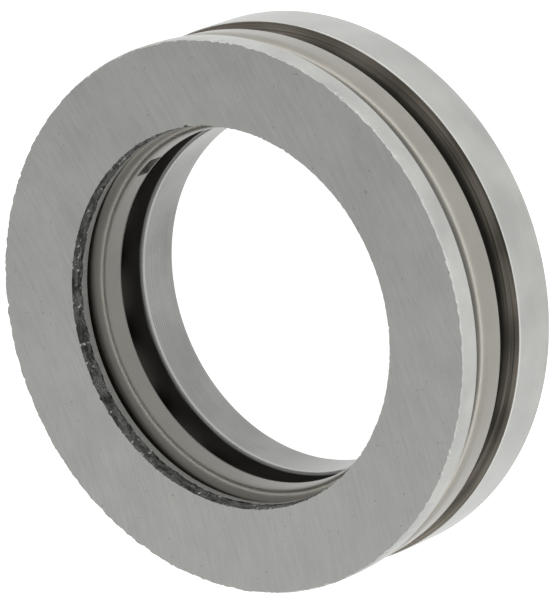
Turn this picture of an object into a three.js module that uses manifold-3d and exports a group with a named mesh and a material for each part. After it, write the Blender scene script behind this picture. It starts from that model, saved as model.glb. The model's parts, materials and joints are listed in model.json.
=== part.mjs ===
// A single-direction thrust ball bearing, 65 x 100 x 27 mm, lying flat.
//
// Units are millimetres. +Z is the bearing's axis, and the origin is the centre of the shaft washer's
// seat face, so the bearing stands on the plane z = 0. From the bottom up it is a thick shaft washer,
// a ring of balls in a pressed-steel channel cage that is closed on top, and a thin housing washer.

import * as THREE from "three";
import { mergeVertices } from "three/addons/utils/BufferGeometryUtils.js";
import Module from "manifold-3d";

// Boundary dimensions
const HEIGHT = 27;
const HOUSING_OUTER_R = 50;
const HOUSING_BORE_R = 34.4;
const HOUSING_THICKNESS = 4.25;
const SHAFT_OUTER_R = 49.8;
const SHAFT_BORE_R = 32.5;
const SHAFT_THICKNESS = 9.25;
const EDGE_CHAMFER = 0.3;
const RACE_BORE_CHAMFER = 0.7;

// Balls (9/16 inch) and the grooves that they run in
const BALL_COUNT = 17;
const BALL_R = 14.2875 / 2;
const PITCH_R = 41.2;
const GROOVE_R = 1.08 * BALL_R;
const RUNNING_CLEARANCE = 0.04;

// Cage: one sheet, bent to a channel that opens downwards
const SHEET = 1.1;
const CAGE_OUTER_R = 49.85;
const CAGE_INNER_R = 32.7;
const WEB_CLEARANCE = 1.05;
const FLANGE_DEPTH = 7.1;
const BEND_R = 3.0;
const LIP_HEIGHT = 1.2;
const LIP_HALF_WIDTH = 7.09;
const POCKET_R = 5.6;
const SLOT_ANGLE_DEG = 128.3;
const SLOT_WIDTH = 4.85;
const SLOT_HEIGHT = 3.1;
const SLOT_FROM_WEB = 2.6;

// Facets: four ring segments for each ball put a corner of every ring over each ball's centre
const RING_SEGMENTS = 4 * BALL_COUNT;
const BALL_SEGMENTS = 12;
const BALL_RINGS = 8;
const GROOVE_STEPS = 6;
const BEND_STEPS = 4;
const POCKET_SEGMENTS = 16;
const MERGE_DISTANCE = 1e-4;

const HOUSING_UNDERSIDE = HEIGHT - HOUSING_THICKNESS;
const BALL_Z = (SHAFT_THICKNESS + HOUSING_UNDERSIDE) / 2;
const WEB_TOP = HOUSING_UNDERSIDE - WEB_CLEARANCE;
const FLANGE_END = WEB_TOP - FLANGE_DEPTH;
const CUTTER_LENGTH = 4 * SHEET;

const groundSteel = new THREE.MeshStandardMaterial({
  name: "ground_steel",
  color: 0x9a9b99,
  roughness: 0.42,
  metalness: 1,
});
const cageSteel = new THREE.MeshStandardMaterial({
  name: "cage_steel",
  color: 0x938e86,
  roughness: 0.5,
  metalness: 1,
});
const ballSteel = new THREE.MeshStandardMaterial({
  name: "ball_steel",
  color: 0xc8c9ca,
  roughness: 0.1,
  metalness: 1,
});

const wasm = await Module();
wasm.setup();

const radians = (degrees) => THREE.MathUtils.degToRad(degrees);

// A ring about +Z from its section: corners as [radius, z], counterclockwise with the axis on the left.
// The ring's first column of corners lies over +X.
function ring(section) {
  const points = [...section, section[0]].map(([r, z]) => new THREE.Vector2(r, z));
  return new THREE.LatheGeometry(points, RING_SEGMENTS, Math.PI / 2).rotateX(Math.PI / 2);
}

// Points of an arc in a section, both ends included.
function arc(centreR, centreZ, radius, fromDeg, toDeg, steps) {
  return Array.from({ length: steps + 1 }, (_, i) => {
    const angle = radians(THREE.MathUtils.lerp(fromDeg, toDeg, i / steps));
    return [centreR + radius * Math.cos(angle), centreZ + radius * Math.sin(angle)];
  });
}

// The ball groove's arc across a washer face. Side is +1 where the washer lies below the balls.
function groove(faceZ, side) {
  const centreZ = BALL_Z + side * (GROOVE_R - BALL_R - RUNNING_CLEARANCE);
  const halfAngle = THREE.MathUtils.radToDeg(Math.acos(Math.abs(centreZ - faceZ) / GROOVE_R));
  const middle = -90 * side;
  return arc(PITCH_R, centreZ, GROOVE_R, middle + halfAngle, middle - halfAngle, GROOVE_STEPS);
}

function solidFrom(geometry) {
  const bare = geometry.clone().deleteAttribute("normal").deleteAttribute("uv");
  const merged = mergeVertices(bare, MERGE_DISTANCE);
  return new wasm.Manifold(
    new wasm.Mesh({
      numProp: 3,
      vertProperties: merged.attributes.position.array,
      triVerts: new Uint32Array(merged.index.array),
    }),
  );
}

function geometryFrom(solid) {
  const { vertProperties, triVerts } = solid.getMesh();
  return new THREE.BufferGeometry()
    .setAttribute("position", new THREE.BufferAttribute(vertProperties, 3))
    .setIndex(new THREE.BufferAttribute(triVerts, 1));
}

function named(name, geometry, material) {
  const mesh = new THREE.Mesh(geometry, material);
  mesh.name = name;
  return mesh;
}

function shaftWasher() {
  const section = [
    [SHAFT_BORE_R, EDGE_CHAMFER],
    [SHAFT_BORE_R + EDGE_CHAMFER, 0],
    [SHAFT_OUTER_R - EDGE_CHAMFER, 0],
    [SHAFT_OUTER_R, EDGE_CHAMFER],
    [SHAFT_OUTER_R, SHAFT_THICKNESS - EDGE_CHAMFER],
    [SHAFT_OUTER_R - EDGE_CHAMFER, SHAFT_THICKNESS],
    ...groove(SHAFT_THICKNESS, 1),
    [SHAFT_BORE_R + RACE_BORE_CHAMFER, SHAFT_THICKNESS],
    [SHAFT_BORE_R, SHAFT_THICKNESS - RACE_BORE_CHAMFER],
  ];
  return named("shaft_washer", ring(section), groundSteel);
}

function housingWasher() {
  const section = [
    [HOUSING_BORE_R, HEIGHT],
    [HOUSING_BORE_R, HOUSING_UNDERSIDE],
    ...groove(HOUSING_UNDERSIDE, -1),
    [HOUSING_OUTER_R - EDGE_CHAMFER, HOUSING_UNDERSIDE],
    [HOUSING_OUTER_R, HOUSING_UNDERSIDE + EDGE_CHAMFER],
    [HOUSING_OUTER_R, HEIGHT - EDGE_CHAMFER],
    [HOUSING_OUTER_R - EDGE_CHAMFER, HEIGHT],
  ];
  return named("housing_washer", ring(section), groundSteel);
}

// The channel's section. The outer flange leans in towards its edge, the inner one ends in a rolled lip,
// and the two edges, closer together than a ball is wide, hold the balls in.
function cageSection() {
  const outerBendR = CAGE_OUTER_R - BEND_R;
  const innerBendR = CAGE_INNER_R + BEND_R;
  const bendZ = WEB_TOP - BEND_R;
  const lipZ = FLANGE_END + LIP_HEIGHT;
  const outerEdgeR = PITCH_R + LIP_HALF_WIDTH;
  const innerEdgeR = PITCH_R - LIP_HALF_WIDTH;
  return [
    [outerEdgeR, FLANGE_END],
    [outerEdgeR + SHEET, FLANGE_END],
    ...arc(outerBendR, bendZ, BEND_R, 0, 90, BEND_STEPS),
    ...arc(innerBendR, bendZ, BEND_R, 90, 180, BEND_STEPS),
    [CAGE_INNER_R, lipZ],
    [innerEdgeR - SHEET, FLANGE_END],
    [innerEdgeR, FLANGE_END],
    [CAGE_INNER_R + SHEET, lipZ],
    ...arc(innerBendR, bendZ, BEND_R - SHEET, 180, 90, BEND_STEPS),
    ...arc(outerBendR, bendZ, BEND_R - SHEET, 90, 0, BEND_STEPS),
  ];
}

function ballAngle(index) {
  return (2 * Math.PI * index) / BALL_COUNT;
}

function cage() {
  let solid = solidFrom(ring(cageSection()));
  for (let i = 0; i < BALL_COUNT; i += 1) {
    const pocket = new THREE.CylinderGeometry(POCKET_R, POCKET_R, CUTTER_LENGTH, POCKET_SEGMENTS)
      .rotateX(Math.PI / 2)
      .translate(PITCH_R, 0, WEB_TOP)
      .rotateZ(ballAngle(i));
    solid = solid.subtract(solidFrom(pocket));
  }
  const slot = new THREE.BoxGeometry(CUTTER_LENGTH, SLOT_WIDTH, SLOT_HEIGHT)
    .translate(CAGE_INNER_R, 0, WEB_TOP - SLOT_FROM_WEB - SLOT_HEIGHT / 2)
    .rotateZ(radians(SLOT_ANGLE_DEG));
  solid = solid.subtract(solidFrom(slot));
  return named("cage", geometryFrom(solid), cageSteel);
}

// A ball with its poles on its own spin axis, which points away from the bearing's axis.
function ball(index) {
  const geometry = new THREE.SphereGeometry(BALL_R, BALL_SEGMENTS, BALL_RINGS).rotateZ(-Math.PI / 2);
  const mesh = named(`ball_${String(index + 1).padStart(2, "0")}`, geometry, ballSteel);
  const angle = ballAngle(index);
  mesh.position.set(PITCH_R * Math.cos(angle), PITCH_R * Math.sin(angle), BALL_Z);
  mesh.rotation.z = angle;
  return mesh;
}

const cageAndBalls = new THREE.Group();
cageAndBalls.add(cage());
for (let i = 0; i < BALL_COUNT; i += 1) {
  cageAndBalls.add(ball(i));
}

const bearing = new THREE.Group();
bearing.add(shaftWasher(), cageAndBalls, housingWasher());

export default bearing;
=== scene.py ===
"""Fine meshes and steel finishes for a thrust ball bearing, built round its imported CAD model.

Everything is in metres in the CAD frame: +Z is the bearing's axis, the shaft washer's seat face is at
z = 0, and the thin housing washer is on top. Each CAD node is replaced by a finer piece of its own.
"""

import json
import math

import bmesh
import bpy
import numpy as np
from mathutils import Matrix, Quaternion, Vector, noise

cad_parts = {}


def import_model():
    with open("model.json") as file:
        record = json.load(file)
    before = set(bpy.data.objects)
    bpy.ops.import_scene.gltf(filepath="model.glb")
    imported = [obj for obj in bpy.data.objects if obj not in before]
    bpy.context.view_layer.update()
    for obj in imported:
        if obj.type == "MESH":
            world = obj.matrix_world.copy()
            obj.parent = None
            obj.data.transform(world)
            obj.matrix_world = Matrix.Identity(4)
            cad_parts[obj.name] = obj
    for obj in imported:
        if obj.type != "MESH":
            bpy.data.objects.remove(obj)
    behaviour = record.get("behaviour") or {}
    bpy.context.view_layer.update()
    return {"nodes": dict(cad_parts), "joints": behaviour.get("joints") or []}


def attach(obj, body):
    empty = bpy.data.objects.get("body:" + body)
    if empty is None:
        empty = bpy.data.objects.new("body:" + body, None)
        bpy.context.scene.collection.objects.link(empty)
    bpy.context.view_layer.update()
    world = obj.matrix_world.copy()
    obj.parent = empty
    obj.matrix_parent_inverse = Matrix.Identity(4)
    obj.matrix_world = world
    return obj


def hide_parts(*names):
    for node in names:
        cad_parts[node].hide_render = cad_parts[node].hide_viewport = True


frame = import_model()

MM = 0.001

# Camera. An azimuth is from +X, here and for the light.
CAMERA_AIM = Vector((0.7, 0.2, 13.5)) * MM
CAMERA_DISTANCE = 1045 * MM
CAMERA_AZIMUTH = math.radians(16.9)
CAMERA_ELEVATION = math.radians(50.82)
CAMERA_ROLL = math.radians(-111.4)
CAMERA_LENS = 353.9

# Light: the surround's brightness at its horizon, and its share of that against the sine of the elevation
HORIZON = 3.0
SKY = [(-0.02, 0.33), (0.0, 1.0), (0.16, 1.0), (0.24, 0.14), (0.80, 0.14), (0.93, 0.03)]
LIGHT_AZIMUTH = math.radians(219)
LIGHT_ELEVATION = math.radians(47)
LIGHT_DISTANCE = 1.4
LIGHT_SIZE = 1.0
LIGHT_POWER = 2.0
FLOOR_HALF_WIDTH = 6.0
FLOOR_GLOW = 0.95

# Fineness of the meshes
WASHER_COLUMNS = 1200
CAGE_COLUMNS = 1088
FRACTURE_ROWS = 24
GROOVE_STEPS = 16
ROUNDING_STEPS = 8
POCKET_SIDES = 72
SLOT_ROUNDING_STEPS = 4
BALL_SUBDIVISIONS = 5
SHARP_ANGLE = math.radians(28)

# Washers. The turned part of a bore keeps away from an edge by a multiple of the edge's rounding.
EDGE_ROUNDING = 0.25 * MM
BORE_ROUNDING = 0.6 * MM
BURNISHED_EDGE_ROUNDING = 0.15 * MM
RACE_EDGE_HEIGHT = 0.26 * MM
RACE_EDGE_WIDTH = 0.16 * MM
GROOVE_RATIO = 1.08
RUNNING_CLEARANCE = 0.04 * MM
TURNING_PITCH = 0.55 * MM
TURNING_DEPTH = 0.012 * MM
TURNING_ROWS_PER_PITCH = 4
TURNING_FROM_EDGE = 1.5

# The torn part of the housing washer's bore: its depth all over, what is added at the top, and its grain.
# Within the topmost share the grain grows from its strength at the top to full strength, and the chips
# fade out. Waves are (height, wavelength, seed), and nicks are (depth, wavelength, threshold, seed).
FRACTURE_HEIGHT = 2.7 * MM
FRACTURE_END_WAVES = [(0.35 * MM, 3.0 * MM, 1.0), (0.30 * MM, 0.8 * MM, 2.0)]
TEAR_DEPTH = 0.12 * MM
TEAR_FLARE = 0.12 * MM
TEAR_LEAST = 0.03 * MM
TEAR_MOST = 1.0 * MM
GRAIN_DEPTH = 0.22 * MM
GRAIN_WAVELENGTH = 0.7 * MM
GRAIN_SEED = 5.0
GRAIN_AT_TOP = 0.3
TOP_SHARE = 0.2
TOP_CHIPS = [(0.5 * MM, 1.4 * MM, 0.40, 7.0), (0.3 * MM, 0.6 * MM, 0.25, 9.0)]

# The ragged outer edge of the housing washer's seat face
CHAMFER_WIDTH = 0.20 * MM
CHAMFER_LEAST = 0.02 * MM
CHAMFER_SLOPE = 2.0
CHAMFER_WAVES = [(0.22 * MM, 1.8 * MM, 11.0), (0.18 * MM, 0.6 * MM, 12.0)]
CHAMFER_NICKS = [(0.45 * MM, 1.0 * MM, 0.35, 13.0)]

# Cage
SHEET = 1.1 * MM
SHEET_EDGE_ROUNDING = 0.3 * SHEET
BEND_ROUNDING = 3.0 * MM
LIP_HEIGHT = 1.2 * MM
LIP_HALF_WIDTH = 7.09 * MM
POCKET_R = 5.6 * MM
SLOT_ANGLE = math.radians(128.3)
SLOT_WIDTH = 4.85 * MM
SLOT_HEIGHT = 3.1 * MM
SLOT_FROM_WEB = 2.6 * MM
SLOT_ROUNDING = 0.35 * MM
CUTTER_LENGTH = 4 * SHEET

# Grinding lines of the seat faces: their direction, and the radius of the wheel that drew them
GRINDING_ANGLE = math.radians(108)
WHEEL_R = 220 * MM

# Colours. A pair is the darkest and the lightest of a surface.
STEEL_TINT = (0.990, 1.0, 0.958)
# The pressed sheet's own colours, then the same darkened as painted shade low on its inner flange.
UNSHADED_SHEET = ((0.262, 0.250, 0.223, 1), (0.298, 0.285, 0.256, 1))
PAINTED_SHADE_SHEET = ((0.190, 0.186, 0.170, 1), (0.218, 0.212, 0.193, 1))
SHEARED_SHEET = ((0.40, 0.385, 0.36, 1), (0.56, 0.54, 0.51, 1))

# Painted shade fades out between two places: on the race face between two radii, darker towards the groove
# under the cage, and on the cage between two radii or between two heights, darker low on the inner flange.
RACE_PAINTED_SHADE = 0.10
RACE_SHADE_RADII = (46.0 * MM, 47.8 * MM)
CAGE_SHADE_RADII = (33.5 * MM, 36 * MM)
CAGE_SHADE_HEIGHTS = (19.0 * MM, 20.2 * MM)


# ---------------------------------------------------------------------------------------------------
# Sizes read from the frame


def node_points(node):
    """A CAD node's corners as an array of points."""
    mesh = frame["nodes"][node].data
    points = np.empty(3 * len(mesh.vertices))
    mesh.vertices.foreach_get("co", points)
    return points.reshape(-1, 3)


def ring_size(node):
    """(smallest radius, largest radius, lowest z, highest z) of a ring about the bearing's axis."""
    points = node_points(node)
    radii = np.hypot(points[:, 0], points[:, 1])
    return radii.min(), radii.max(), points[:, 2].min(), points[:, 2].max()


BALLS = sorted(name for name in frame["nodes"] if name.startswith("ball_"))
BALL_CENTRES = {
    joint["child"]: Vector(joint["pos_m"]) for joint in frame["joints"] if joint["child"] in BALLS
}
FIRST_CENTRE = BALL_CENTRES[BALLS[0]]
PITCH_R = math.hypot(FIRST_CENTRE.x, FIRST_CENTRE.y)
BALL_Z = FIRST_CENTRE.z
BALL_R = np.linalg.norm(node_points(BALLS[0]) - np.array(FIRST_CENTRE), axis=1).max()


# ---------------------------------------------------------------------------------------------------
# Outlines of rings: corners go counterclockwise in (radius, z), with the axis on the left. A corner is
# (radius, z, rounding, finish), and the finish is that of the stretch that leaves the corner.


def rounded(corners):
    """The outline as (radius, z, finish) points, with each corner that has a rounding turned to an arc."""
    points = []
    for i, (r, z, rounding, finish) in enumerate(corners):
        if not rounding:
            points.append((r, z, finish))
            continue
        corner = Vector((r, z))
        back = (Vector(corners[i - 1][:2]) - corner).normalized()
        ahead = (Vector(corners[(i + 1) % len(corners)][:2]) - corner).normalized()
        half = back.angle(ahead) / 2
        centre = corner + (back + ahead).normalized() * rounding / math.sin(half)
        start = corner + back * rounding / math.tan(half) - centre
        sweep = start.angle_signed(corner + ahead * rounding / math.tan(half) - centre)
        for step in range(ROUNDING_STEPS + 1):
            turned = start.copy()
            turned.rotate(Matrix.Rotation(-sweep * step / ROUNDING_STEPS, 2))
            points.append((*(centre + turned), finish))
    return points


def groove(face_z, side, last_finish):
    """The ball groove across a washer's race face. Side is +1 where the washer lies below the balls.

    Last finish is that of the stretch from the groove's end to the outline's next corner.
    """
    radius = GROOVE_RATIO * BALL_R
    centre_z = BALL_Z + side * (radius - BALL_R - RUNNING_CLEARANCE)
    half = math.acos(abs(centre_z - face_z) / radius)
    middle = -side * math.pi / 2
    angles = np.linspace(middle + half, middle - half, GROOVE_STEPS + 1)
    finishes = ["groove"] * GROOVE_STEPS + [last_finish]
    return [
        (PITCH_R + radius * math.cos(angle), centre_z + radius * math.sin(angle), 0, finish)
        for angle, finish in zip(angles, finishes)
    ]


def column_angles(columns):
    return np.linspace(0, 2 * math.pi, columns, endpoint=False)


def rows_of(corners, columns):
    """An outline's radius and height as arrays of rows by columns, and a list of one finish for a row."""
    points = rounded(corners)
    radius = np.repeat([[r] for r, _, _ in points], columns, axis=1)
    height = np.repeat([[z] for _, z, _ in points], columns, axis=1)
    return radius, height, [finish for _, _, finish in points]


def ring(name, radius, height, finishes, materials):
    """A closed ring about +Z. Radius and height are arrays of rows by columns, one finish for a row."""
    rows, columns = radius.shape
    angle = column_angles(columns)
    points = np.stack([radius * np.cos(angle), radius * np.sin(angle), height], axis=-1)
    row, column = np.meshgrid(np.arange(rows), np.arange(columns), indexing="ij")
    next_row, next_column = (row + 1) % rows, (column + 1) % columns
    faces = np.stack(
        [
            row * columns + column,
            row * columns + next_column,
            next_row * columns + next_column,
            next_row * columns + column,
        ],
        axis=-1,
    )
    mesh = bpy.data.meshes.new(name)
    mesh.from_pydata(points.reshape(-1, 3).tolist(), [], faces.reshape(-1, 4).tolist())
    slots = sorted(set(finishes))
    for slot in slots:
        mesh.materials.append(materials[slot])
    indices = np.repeat([slots.index(finish) for finish in finishes], columns)
    mesh.polygons.foreach_set("material_index", indices)
    return placed(name, mesh)


def placed(name, mesh):
    """An object for the mesh, smooth except at its sharp edges."""
    mesh.polygons.foreach_set("use_smooth", np.ones(len(mesh.polygons), dtype=bool))
    mesh.set_sharp_from_angle(angle=SHARP_ANGLE)
    piece = bpy.data.objects.new(name, mesh)
    bpy.context.scene.collection.objects.link(piece)
    return piece


def stands_for(piece, node, body):
    """Puts the piece on its body in place of a CAD node, which it hides."""
    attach(piece, body)
    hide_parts(node)


# ---------------------------------------------------------------------------------------------------
# Pieces


def wander(angle, radius, wavelength, seed):
    """Smooth noise from about -1 to 1 round a circle, one value for each angle."""
    scale = radius / wavelength
    return np.array([noise.noise(Vector((scale * math.cos(a), scale * math.sin(a), seed))) for a in angle])


def wavy(level, angle, radius, waves):
    """The level with waves added round a circle."""
    for height, wavelength, seed in waves:
        level = level + height * wander(angle, radius, wavelength, seed)
    return level


def nicked(level, angle, radius, nicks):
    """The level, raised only in the places round a circle where the noise passes a nick's threshold."""
    for depth, wavelength, threshold, seed in nicks:
        past = wander(angle, radius, wavelength, seed) - threshold
        level = level + depth * np.clip(past / (1 - threshold), 0, 1)
    return level


def rough(points, wavelength, seed):
    """Noise from about -1 to 1 at each of an array of points."""
    increment, lacunarity, octaves = 0.6, 2.0, 3
    shift = Vector((seed, 2 * seed, 3 * seed))
    flat = points.reshape(-1, 3) / wavelength
    values = [noise.fractal(Vector(p) + shift, increment, lacunarity, octaves) for p in flat]
    return np.array(values).reshape(points.shape[:-1])


def tear(radius, height, bore_r, top):
    """Tears a bore's upper rows back, down to a wandering line, and chips the edge at the top."""
    angle = column_angles(WASHER_COLUMNS)
    share = np.arange(FRACTURE_ROWS + 1)[:, None] / FRACTURE_ROWS
    end = wavy(FRACTURE_HEIGHT, angle, bore_r, FRACTURE_END_WAVES)
    torn_height = top - end * share
    height[: FRACTURE_ROWS + 1] = torn_height
    x, y = bore_r * np.cos(angle), bore_r * np.sin(angle)
    surface = np.stack(np.broadcast_arrays(x, y, torn_height), axis=-1)
    strength = np.clip(GRAIN_AT_TOP + share / TOP_SHARE, 0, 1)
    grain = GRAIN_DEPTH * strength * rough(surface, GRAIN_WAVELENGTH, GRAIN_SEED)
    chips = nicked(0.0, angle, bore_r, TOP_CHIPS) * np.clip(1 - share / TOP_SHARE, 0, 1)
    depth = np.clip(TEAR_DEPTH + TEAR_FLARE * (1 - share) + grain + chips, TEAR_LEAST, TEAR_MOST)
    radius[:FRACTURE_ROWS] += depth[:FRACTURE_ROWS]


def roughen_edge(radius, height, outer_r, top):
    """Makes the chamfer of a seat face's outer edge ragged. Its two rows are the outline's last."""
    angle = column_angles(WASHER_COLUMNS)
    width = wavy(CHAMFER_WIDTH, angle, outer_r, CHAMFER_WAVES)
    width = np.maximum(nicked(width, angle, outer_r, CHAMFER_NICKS), CHAMFER_LEAST)
    height[-2] = top - CHAMFER_SLOPE * width
    radius[-1] = outer_r - width


def housing_washer(materials):
    """The thin washer: ground seat face on top, torn and burnished bore, raceway underneath."""
    bore_r, outer_r, low, high = ring_size("housing_washer")
    corners = [
        (bore_r, high - FRACTURE_HEIGHT * row / FRACTURE_ROWS, 0, "fracture") for row in range(FRACTURE_ROWS)
    ]
    corners += [
        (bore_r, high - FRACTURE_HEIGHT, 0, "burnish"),
        (bore_r, low, BURNISHED_EDGE_ROUNDING, "race"),
        *groove(low, -1, "groove"),
        (outer_r, low, EDGE_ROUNDING, "rim"),
        (outer_r, high - EDGE_ROUNDING, 0, "rim"),
        (outer_r - EDGE_ROUNDING, high, 0, "seat"),
    ]
    radius, height, finishes = rows_of(corners, WASHER_COLUMNS)
    tear(radius, height, bore_r, high)
    roughen_edge(radius, height, outer_r, high)
    piece = ring("housing_washer_ground", radius, height, finishes, materials)
    stands_for(piece, "housing_washer", "housing_washer")


def turned_bore(bore_r, top, bottom, finish):
    """Corners down a bore that a tool has turned, with fine scallops."""
    count = round(TURNING_ROWS_PER_PITCH * (top - bottom) / TURNING_PITCH)
    corners = []
    for row in range(1, count):
        z = top + (bottom - top) * row / count
        wave = 0.5 - 0.5 * math.cos(2 * math.pi * row / TURNING_ROWS_PER_PITCH)
        corners.append((bore_r + TURNING_DEPTH * wave, z, 0, finish))
    return corners


def shaft_washer(materials):
    """The thick washer: raceway on top, turned bore, ground seat face underneath."""
    bore_r, outer_r, low, high = ring_size("shaft_washer")
    turned_top = high - TURNING_FROM_EDGE * BORE_ROUNDING
    turned_bottom = low + TURNING_FROM_EDGE * EDGE_ROUNDING
    corners = [
        (bore_r, high, BORE_ROUNDING, "rim"),
        *turned_bore(bore_r, turned_top, turned_bottom, "bore"),
        (bore_r, low, EDGE_ROUNDING, "seat"),
        (outer_r, low, EDGE_ROUNDING, "rim"),
        (outer_r, high - RACE_EDGE_HEIGHT, 0, "rim"),
        (outer_r - RACE_EDGE_WIDTH, high, 0, "race"),
        *groove(high, 1, "race"),
    ]
    piece = ring("shaft_washer_ground", *rows_of(corners, WASHER_COLUMNS), materials)
    stands_for(piece, "shaft_washer", "shaft_washer")


def slot_cutter(cage_inner_r, web_top):
    """A box with rounded corners that cuts the slot through the inner flange."""
    cutter = bmesh.new()
    bmesh.ops.create_cube(cutter, size=1)
    bmesh.ops.scale(cutter, vec=(CUTTER_LENGTH, SLOT_WIDTH, SLOT_HEIGHT), verts=cutter.verts)
    radial = [edge for edge in cutter.edges if abs((edge.verts[0].co - edge.verts[1].co).x) > SHEET]
    bmesh.ops.bevel(
        cutter,
        geom=radial,
        offset=SLOT_ROUNDING,
        segments=SLOT_ROUNDING_STEPS,
        profile=0.5,
        affect="EDGES",
    )
    place = Matrix.Rotation(SLOT_ANGLE, 4, "Z") @ Matrix.Translation(
        (cage_inner_r, 0, web_top - SLOT_FROM_WEB - SLOT_HEIGHT / 2)
    )
    bmesh.ops.transform(cutter, matrix=place, verts=cutter.verts)
    return cutter


def pocket_cutter(centre, web_top):
    """A cylinder that cuts a ball's pocket through the web."""
    cutter = bmesh.new()
    bmesh.ops.create_cone(
        cutter,
        cap_ends=True,
        segments=POCKET_SIDES,
        radius1=POCKET_R,
        radius2=POCKET_R,
        depth=CUTTER_LENGTH,
    )
    bmesh.ops.translate(cutter, vec=(centre.x, centre.y, web_top), verts=cutter.verts)
    return cutter


def cut(piece, cutters, wall_material):
    """Takes the cutters away from the piece, gives the cut walls their material and leaves a plain mesh."""
    wall_slot = len(piece.data.materials)
    piece.data.materials.append(wall_material)
    for cutter in cutters:
        mesh = bpy.data.meshes.new("cutter")
        cutter.to_mesh(mesh)
        cutter.free()
        mesh.polygons.foreach_set("material_index", np.full(len(mesh.polygons), wall_slot))
        tool = bpy.data.objects.new("cutter", mesh)
        bpy.context.scene.collection.objects.link(tool)
        step = piece.modifiers.new("cut", "BOOLEAN")
        step.operation = "DIFFERENCE"
        step.solver = "MANIFOLD"
        step.object = tool
        tool.hide_render = True
    bpy.context.view_layer.update()
    depsgraph = bpy.context.evaluated_depsgraph_get()
    result = bpy.data.meshes.new_from_object(piece.evaluated_get(depsgraph))
    tools = [step.object for step in piece.modifiers]
    piece.modifiers.clear()
    for tool in tools:
        bpy.data.objects.remove(tool)
    result.name = piece.data.name
    piece.data = result
    result.set_sharp_from_angle(angle=SHARP_ANGLE)


def cage(materials):
    """One sheet bent to a channel, with a pocket in its web for each ball and a slot in its inner flange."""
    inner_r, outer_r, low, high = ring_size("cage")
    lip_z = low + LIP_HEIGHT
    outer_edge = PITCH_R + LIP_HALF_WIDTH
    inner_edge = PITCH_R - LIP_HALF_WIDTH
    inner_bend = BEND_ROUNDING - SHEET
    corners = [
        (outer_edge, low, SHEET_EDGE_ROUNDING),
        (outer_edge + SHEET, low, SHEET_EDGE_ROUNDING),
        (outer_r, high, BEND_ROUNDING),
        (inner_r, high, BEND_ROUNDING),
        (inner_r, lip_z, SHEET),
        (inner_edge - SHEET, low, SHEET_EDGE_ROUNDING),
        (inner_edge, low, SHEET_EDGE_ROUNDING),
        (inner_r + SHEET, lip_z, SHEET),
        (inner_r + SHEET, high - SHEET, inner_bend),
        (outer_r - SHEET, high - SHEET, inner_bend),
    ]
    rows = rows_of([(*corner, "sheet") for corner in corners], CAGE_COLUMNS)
    piece = ring("cage_pressed", *rows, materials)
    cutters = [pocket_cutter(centre, high) for centre in BALL_CENTRES.values()]
    cutters.append(slot_cutter(inner_r, high))
    cut(piece, cutters, materials["sheared"])
    stands_for(piece, "cage", "cage")


def ball(node, material):
    """A polished ball, with its mesh already in place so that no two balls show the same marks."""
    shape = bmesh.new()
    bmesh.ops.create_icosphere(shape, subdivisions=BALL_SUBDIVISIONS, radius=BALL_R)
    bmesh.ops.translate(shape, vec=BALL_CENTRES[node], verts=shape.verts)
    mesh = bpy.data.meshes.new(node + "_polished")
    shape.to_mesh(mesh)
    shape.free()
    mesh.materials.append(material)
    stands_for(placed(node + "_polished", mesh), node, node)


# ---------------------------------------------------------------------------------------------------
# Materials


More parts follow.
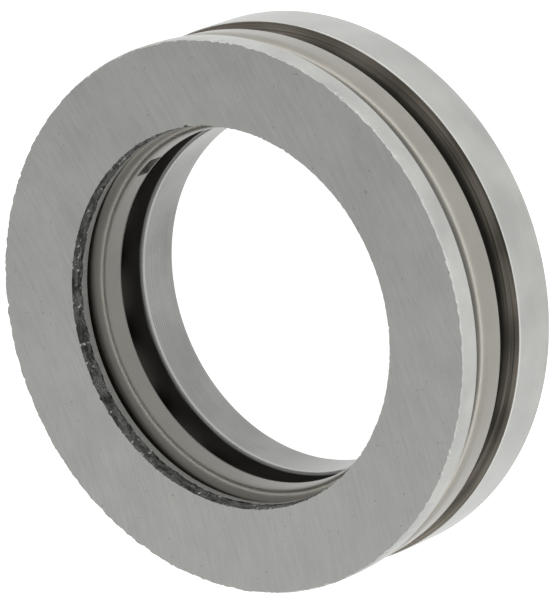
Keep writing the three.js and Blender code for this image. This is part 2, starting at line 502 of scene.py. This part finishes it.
class Graph:
    """A material's node graph, with a Principled shader at its end."""

    def __init__(self, name):
        self.material = bpy.data.materials.new(name)
        self.material.use_nodes = True
        self.tree = self.material.node_tree
        self.shader = self.tree.nodes["Principled BSDF"]

    def node(self, kind, inputs=(), **settings):
        """A new node. Inputs is a list of (socket, value or output to link) pairs."""
        made = self.tree.nodes.new(kind)
        for key, value in settings.items():
            setattr(made, key, value)
        for socket, value in inputs:
            self.put(made.inputs[socket], value)
        return made

    def put(self, socket, value):
        if isinstance(value, bpy.types.NodeSocket):
            self.tree.links.new(value, socket)
        else:
            socket.default_value = value

    def weighted(self, *parts):
        """The sum of parts, each of them (value, weight)."""
        total = self.math("MULTIPLY", *parts[0])
        for value, weight in parts[1:]:
            total = self.math("ADD", total, self.math("MULTIPLY", value, weight))
        return total

    def math(self, operation, first, second=0.0):
        return self.node("ShaderNodeMath", [(0, first), (1, second)], operation=operation).outputs[0]

    def vector(self, operation, first, second=(0, 0, 0)):
        """A vector node, whose output is named Vector or, for a distance or a product, Value."""
        return self.node("ShaderNodeVectorMath", [(0, first), (1, second)], operation=operation)

    def join(self, x, y, z):
        return self.node("ShaderNodeCombineXYZ", [(0, x), (1, y), (2, z)]).outputs[0]

    def position(self):
        return self.node("ShaderNodeTexCoord").outputs["Object"]

    def noise(self, vector, scale, detail=2.0, roughness=0.5):
        inputs = [("Vector", vector), ("Scale", scale), ("Detail", detail), ("Roughness", roughness)]
        return self.node("ShaderNodeTexNoise", inputs).outputs["Fac"]

    def stretched(self, vector, factors):
        return self.vector("MULTIPLY", vector, factors).outputs["Vector"]

    def spread(self, value, low, high, to_low=0.0, to_high=1.0):
        """Value taken from the range low to high into the range to_low to to_high, and held inside it."""
        inputs = [("Value", value), ("From Min", low), ("From Max", high)]
        inputs += [("To Min", to_low), ("To Max", to_high)]
        return self.node("ShaderNodeMapRange", inputs).outputs["Result"]

    def blend(self, share, first, second):
        """The first colour where share is 0 and the second where it is 1."""
        inputs = [("Factor", share), (6, first), (7, second)]
        return self.node("ShaderNodeMix", inputs, data_type="RGBA").outputs[2]

    def bump(self, height, distance, strength=1.0):
        inputs = [("Height", height), ("Distance", distance), ("Strength", strength)]
        return self.node("ShaderNodeBump", inputs).outputs["Normal"]

    def finish(self, **sockets):
        """Sets the shader's sockets, named with underscores for spaces, and gives the material."""
        for name, value in sockets.items():
            self.put(self.shader.inputs[name.replace("_", " ")], value)
        return self.material

    def polar(self):
        """(distance from the bearing's axis, direction from the axis, height) of the shaded point."""
        x, y, z = self.node("ShaderNodeSeparateXYZ", [(0, self.position())]).outputs
        flat = self.join(x, y, 0.0)
        direction = self.vector("NORMALIZE", flat).outputs["Vector"]
        return self.vector("LENGTH", flat).outputs["Value"], direction, z


def grey(value):
    return (value, value, value, 1.0)


def steel(value, warmth=0.0):
    """The faintly green grey of the ground steel."""
    red, green, blue = STEEL_TINT
    return (value * (red + warmth), value * green, value * (blue - warmth), 1.0)


def ground_steel():
    """Surface-ground steel: short, nearly straight lines from a wide wheel, soft clouds and a few specks."""
    graph = Graph("ground_steel_face")
    line = Vector((math.cos(GRINDING_ANGLE), math.sin(GRINDING_ANGLE), 0))
    wheel_centre = WHEEL_R * Vector((-line.y, line.x, 0))
    place = graph.position()
    across = graph.vector("DISTANCE", place, tuple(wheel_centre)).outputs["Value"]
    along = graph.vector("DOT_PRODUCT", place, tuple(line)).outputs["Value"]

    def lines(width, length, seed, detail):
        """Noise drawn out along the grinding direction."""
        x = graph.math("MULTIPLY", across, 1 / width)
        y = graph.math("MULTIPLY", along, 1 / length)
        return graph.noise(graph.join(x, y, seed), scale=1.0, detail=detail, roughness=0.6)

    fine = lines(width=0.22 * MM, length=6 * MM, seed=0.0, detail=2)
    medium = lines(width=0.9 * MM, length=11 * MM, seed=3.0, detail=2)
    streak = lines(width=0.5 * MM, length=9 * MM, seed=9.0, detail=1)
    cloud = graph.noise(place, scale=130, detail=4, roughness=0.6)
    patch = graph.noise(place, scale=38, detail=2)
    speck = graph.noise(place, scale=1400, detail=1)
    tone = graph.weighted((fine, 0.25), (medium, 0.25), (cloud, 0.3), (patch, 0.2))
    colour = graph.blend(graph.spread(tone, 0.38, 0.62), steel(0.40), steel(0.55))
    colour = graph.blend(graph.spread(streak, 0.68, 0.80, 0, 0.3), colour, steel(0.70))
    colour = graph.blend(graph.spread(speck, 0.72, 0.78, 0, 0.6), colour, grey(0.20))
    return graph.finish(
        Base_Color=colour,
        Metallic=1.0,
        Roughness=graph.spread(tone, 0.38, 0.62, 0.36, 0.46),
        Normal=graph.bump(fine, 0.003 * MM),
    )


def turned_steel(
    name, value, contrast, roughness, pitch, line_bump, lines_weight, line_share=0.0, warmth=0.0, painted_shade=None
):
    """Steel with fine lines round the axis. Line share is the part that even lines at the pitch have.

    The last argument, if given, is (grey, (smaller radius, larger radius)): painted shade, fading out
    between the two.
    """
    graph = Graph(name)
    radius, direction, height = graph.polar()
    along = graph.weighted((height, 1 / pitch), (radius, 1 / pitch))
    sideways = graph.node("ShaderNodeSeparateXYZ", [(0, direction)]).outputs["Y"]
    uneven = graph.noise(graph.join(along, sideways, 0.0), scale=1.0, detail=3, roughness=0.7)
    wave = graph.math("SINE", graph.math("MULTIPLY", along, 2 * math.pi))
    even = graph.spread(wave, -1.0, 1.0, 0.3, 0.7)
    cloud = graph.noise(graph.position(), scale=90, detail=3)
    lines = graph.weighted((uneven, 1 - line_share), (even, line_share))
    tone = graph.weighted((lines, lines_weight), (cloud, 1 - lines_weight))
    dark, light = steel(value - contrast, warmth), steel(value + contrast, warmth)
    colour = graph.blend(graph.spread(tone, 0.35, 0.65), dark, light)
    # Painted shade, if given: darker inside the smaller radius, fading to the steel's own colour at the
    # larger.
    if painted_shade:
        shade, radii = painted_shade
        colour = graph.blend(graph.spread(radius, *radii), steel(shade, warmth), colour)
    return graph.finish(
        Base_Color=colour,
        Metallic=1.0,
        Roughness=graph.spread(cloud, 0.3, 0.7, roughness - 0.04, roughness + 0.05),
        Normal=graph.bump(lines, line_bump),
    )


def fractured_steel():
    """The torn part of a pierced bore: dark, coarse, with small painted highlights where facets would catch
    the light.
    """
    graph = Graph("fractured_steel")
    place = graph.stretched(graph.position(), (0.45, 0.45, 1.0))
    grain = graph.noise(place, scale=2600, detail=4, roughness=0.7)
    blotch = graph.noise(place, scale=800, detail=3, roughness=0.6)
    painted_glint = graph.noise(graph.position(), scale=900, detail=1)
    colour = graph.blend(graph.spread(blotch, 0.36, 0.64), steel(0.035), steel(0.15))
    # Painted highlight: small bright glints scattered over the torn band.
    colour = graph.blend(graph.spread(painted_glint, 0.66, 0.74, 0, 0.8), colour, steel(0.62))
    return graph.finish(
        Base_Color=colour,
        Metallic=1.0,
        Roughness=graph.spread(grain, 0.3, 0.7, 0.38, 0.65),
        Normal=graph.bump(grain, 0.05 * MM),
    )


def burnished_steel():
    """The sheared part of a pierced bore: smooth, with fine scores along the axis."""
    graph = Graph("burnished_steel")
    _, direction, _ = graph.polar()
    scores = graph.noise(graph.stretched(direction, (90, 90, 90)), scale=2.0, detail=3)
    cloud = graph.noise(graph.position(), scale=300, detail=2)
    tone = graph.weighted((scores, 0.7), (cloud, 0.3))
    return graph.finish(
        Base_Color=graph.blend(graph.spread(tone, 0.3, 0.7), steel(0.13, 0.02), steel(0.21, 0.02)),
        Metallic=1.0,
        Roughness=graph.spread(cloud, 0.3, 0.7, 0.30, 0.42),
        Normal=graph.bump(scores, 0.006 * MM),
    )


def cage_steel():
    """Pressed sheet: warm grey, smooth, softly clouded, with painted shade low on the inner flange."""
    graph = Graph("pressed_sheet")
    radius, direction, height = graph.polar()
    marks = graph.noise(graph.stretched(direction, (40, 40, 40)), scale=2.0, detail=3)
    cloud = graph.noise(graph.position(), scale=120, detail=3)
    grain = graph.noise(graph.position(), scale=2400, detail=2)
    tone = graph.weighted((marks, 0.2), (cloud, 0.8))
    shade = graph.spread(tone, 0.3, 0.7)
    unshaded_colour = graph.blend(shade, *UNSHADED_SHEET)
    painted_shade_colour = graph.blend(shade, *PAINTED_SHADE_SHEET)
    # Painted shade: the sheet is darker where it is both inside the smaller radius and below the lower
    # height, low on the inner flange.
    outside = graph.spread(radius, *CAGE_SHADE_RADII)
    above = graph.spread(height, *CAGE_SHADE_HEIGHTS)
    return graph.finish(
        Base_Color=graph.blend(graph.math("MAXIMUM", outside, above), painted_shade_colour, unshaded_colour),
        Metallic=1.0,
        Roughness=graph.spread(tone, 0.3, 0.7, 0.28, 0.34),
        Normal=graph.bump(grain, 0.0006 * MM),
    )


def sheared_steel():
    """The cut walls of the cage's pockets and slot: matt and lighter than the sheet's faces."""
    graph = Graph("sheared_sheet_edge")
    grain = graph.noise(graph.stretched(graph.position(), (1.0, 1.0, 0.3)), scale=2600, detail=3)
    return graph.finish(
        Base_Color=graph.blend(graph.spread(grain, 0.35, 0.65), *SHEARED_SHEET),
        Metallic=1.0,
        Roughness=graph.spread(grain, 0.35, 0.65, 0.55, 0.75),
        Normal=graph.bump(grain, 0.01 * MM),
    )


def ball_steel():
    """Lapped and polished bearing balls with a few faint rolling marks."""
    graph = Graph("ball_steel_polished")
    cloud = graph.noise(graph.position(), scale=260, detail=2)
    scratch = graph.noise(graph.position(), scale=1500, detail=4, roughness=0.8)
    return graph.finish(
        Base_Color=graph.blend(graph.spread(cloud, 0.3, 0.7), grey(0.38), grey(0.44)),
        Metallic=1.0,
        Roughness=graph.spread(scratch, 0.55, 0.75, 0.12, 0.24),
        Normal=graph.bump(scratch, 0.0005 * MM),
    )


# ---------------------------------------------------------------------------------------------------
# Stage


def direction_to(azimuth, elevation):
    """The unit vector from the origin towards an azimuth from +X and an elevation."""
    flat = math.cos(elevation)
    return Vector((math.cos(azimuth) * flat, math.sin(azimuth) * flat, math.sin(elevation)))


def floor():
    """A plain white floor that glows, so that it stays white in the bearing's bore."""
    mesh = bpy.data.meshes.new("floor")
    signs = [(-1, -1), (1, -1), (1, 1), (-1, 1)]
    corners = [(x * FLOOR_HALF_WIDTH, y * FLOOR_HALF_WIDTH, 0) for x, y in signs]
    mesh.from_pydata(corners, [], [(0, 1, 2, 3)])
    piece = bpy.data.objects.new("floor", mesh)
    bpy.context.scene.collection.objects.link(piece)
    white = Graph("floor_white").finish(
        Base_Color=grey(0.6),
        Roughness=0.9,
        Emission_Color=grey(1.0),
        Emission_Strength=FLOOR_GLOW,
    )
    mesh.materials.append(white)


def world():
    """A studio surround: bright at the horizon, dark overhead, and like the floor below the horizon."""
    made = bpy.data.worlds.new("studio")
    made.use_nodes = True
    bpy.context.scene.world = made
    tree = made.node_tree
    place = tree.nodes.new("ShaderNodeTexCoord")
    split = tree.nodes.new("ShaderNodeSeparateXYZ")
    ramp = tree.nodes.new("ShaderNodeValToRGB")
    tree.links.new(place.outputs["Generated"], split.inputs[0])
    share = tree.nodes.new("ShaderNodeMapRange")
    share.inputs["From Min"].default_value = -1.0
    tree.links.new(split.outputs["Z"], share.inputs["Value"])
    tree.links.new(share.outputs["Result"], ramp.inputs[0])
    tree.links.new(ramp.outputs["Color"], tree.nodes["Background"].inputs["Color"])
    tree.nodes["Background"].inputs["Strength"].default_value = HORIZON
    steps = ramp.color_ramp.elements
    while len(steps) < len(SKY):
        steps.new(1.0)
    for step, (height, brightness) in zip(steps, SKY):
        step.position = (1 + height) / 2
        step.color = grey(brightness)


def area_light():
    """A square soft light over the bearing, facing it."""
    away = direction_to(LIGHT_AZIMUTH, LIGHT_ELEVATION)
    data = bpy.data.lights.new("overhead", "AREA")
    data.size = LIGHT_SIZE
    data.energy = LIGHT_POWER
    lamp = bpy.data.objects.new("overhead", data)
    lamp.location = LIGHT_DISTANCE * away
    lamp.rotation_mode = "QUATERNION"
    lamp.rotation_quaternion = away.to_track_quat("Z", "Y")
    bpy.context.scene.collection.objects.link(lamp)


def camera():
    """A camera that looks at its aim from a long way off and is rolled about its line of sight."""
    back = direction_to(CAMERA_AZIMUTH, CAMERA_ELEVATION)
    data = bpy.data.cameras.new("camera")
    data.lens = CAMERA_LENS
    made = bpy.data.objects.new("camera", data)
    made.location = CAMERA_AIM + CAMERA_DISTANCE * back
    made.rotation_mode = "QUATERNION"
    made.rotation_quaternion = back.to_track_quat("Z", "Y") @ Quaternion((0, 0, 1), CAMERA_ROLL)
    bpy.context.scene.collection.objects.link(made)
    bpy.context.scene.camera = made


camera()
world()
floor()
area_light()
bpy.context.scene.view_settings.view_transform = "Standard"

STEELS = {
    "seat": ground_steel(),
    "rim": turned_steel(
        "ground_steel_rim",
        value=0.41,
        contrast=0.05,
        roughness=0.36,
        pitch=0.35 * MM,
        line_bump=0.0006 * MM,
        lines_weight=0.2,
    ),
    "bore": turned_steel(
        "turned_steel_bore",
        value=0.28,
        contrast=0.06,
        roughness=0.26,
        pitch=TURNING_PITCH,
        line_bump=0.004 * MM,
        lines_weight=0.5,
        line_share=0.6,
    ),
    "race": turned_steel(
        "lapped_steel_face",
        value=0.42,
        contrast=0.22,
        roughness=0.60,
        pitch=0.4 * MM,
        line_bump=0.004 * MM,
        lines_weight=0.9,
        warmth=0.10,
        # Painted shade on the race face: darker towards the groove, under the cage.
        painted_shade=(RACE_PAINTED_SHADE, RACE_SHADE_RADII),
    ),
    "groove": turned_steel(
        "lapped_steel_groove",
        value=0.42,
        contrast=0.04,
        roughness=0.14,
        pitch=0.3 * MM,
        line_bump=0.001 * MM,
        lines_weight=0.6,
    ),
    "fracture": fractured_steel(),
    "burnish": burnished_steel(),
}
housing_washer(STEELS)
shaft_washer(STEELS)
cage({"sheet": cage_steel(), "sheared": sheared_steel()})
BALL_FINISH = ball_steel()
for node in BALLS:
    ball(node, BALL_FINISH)
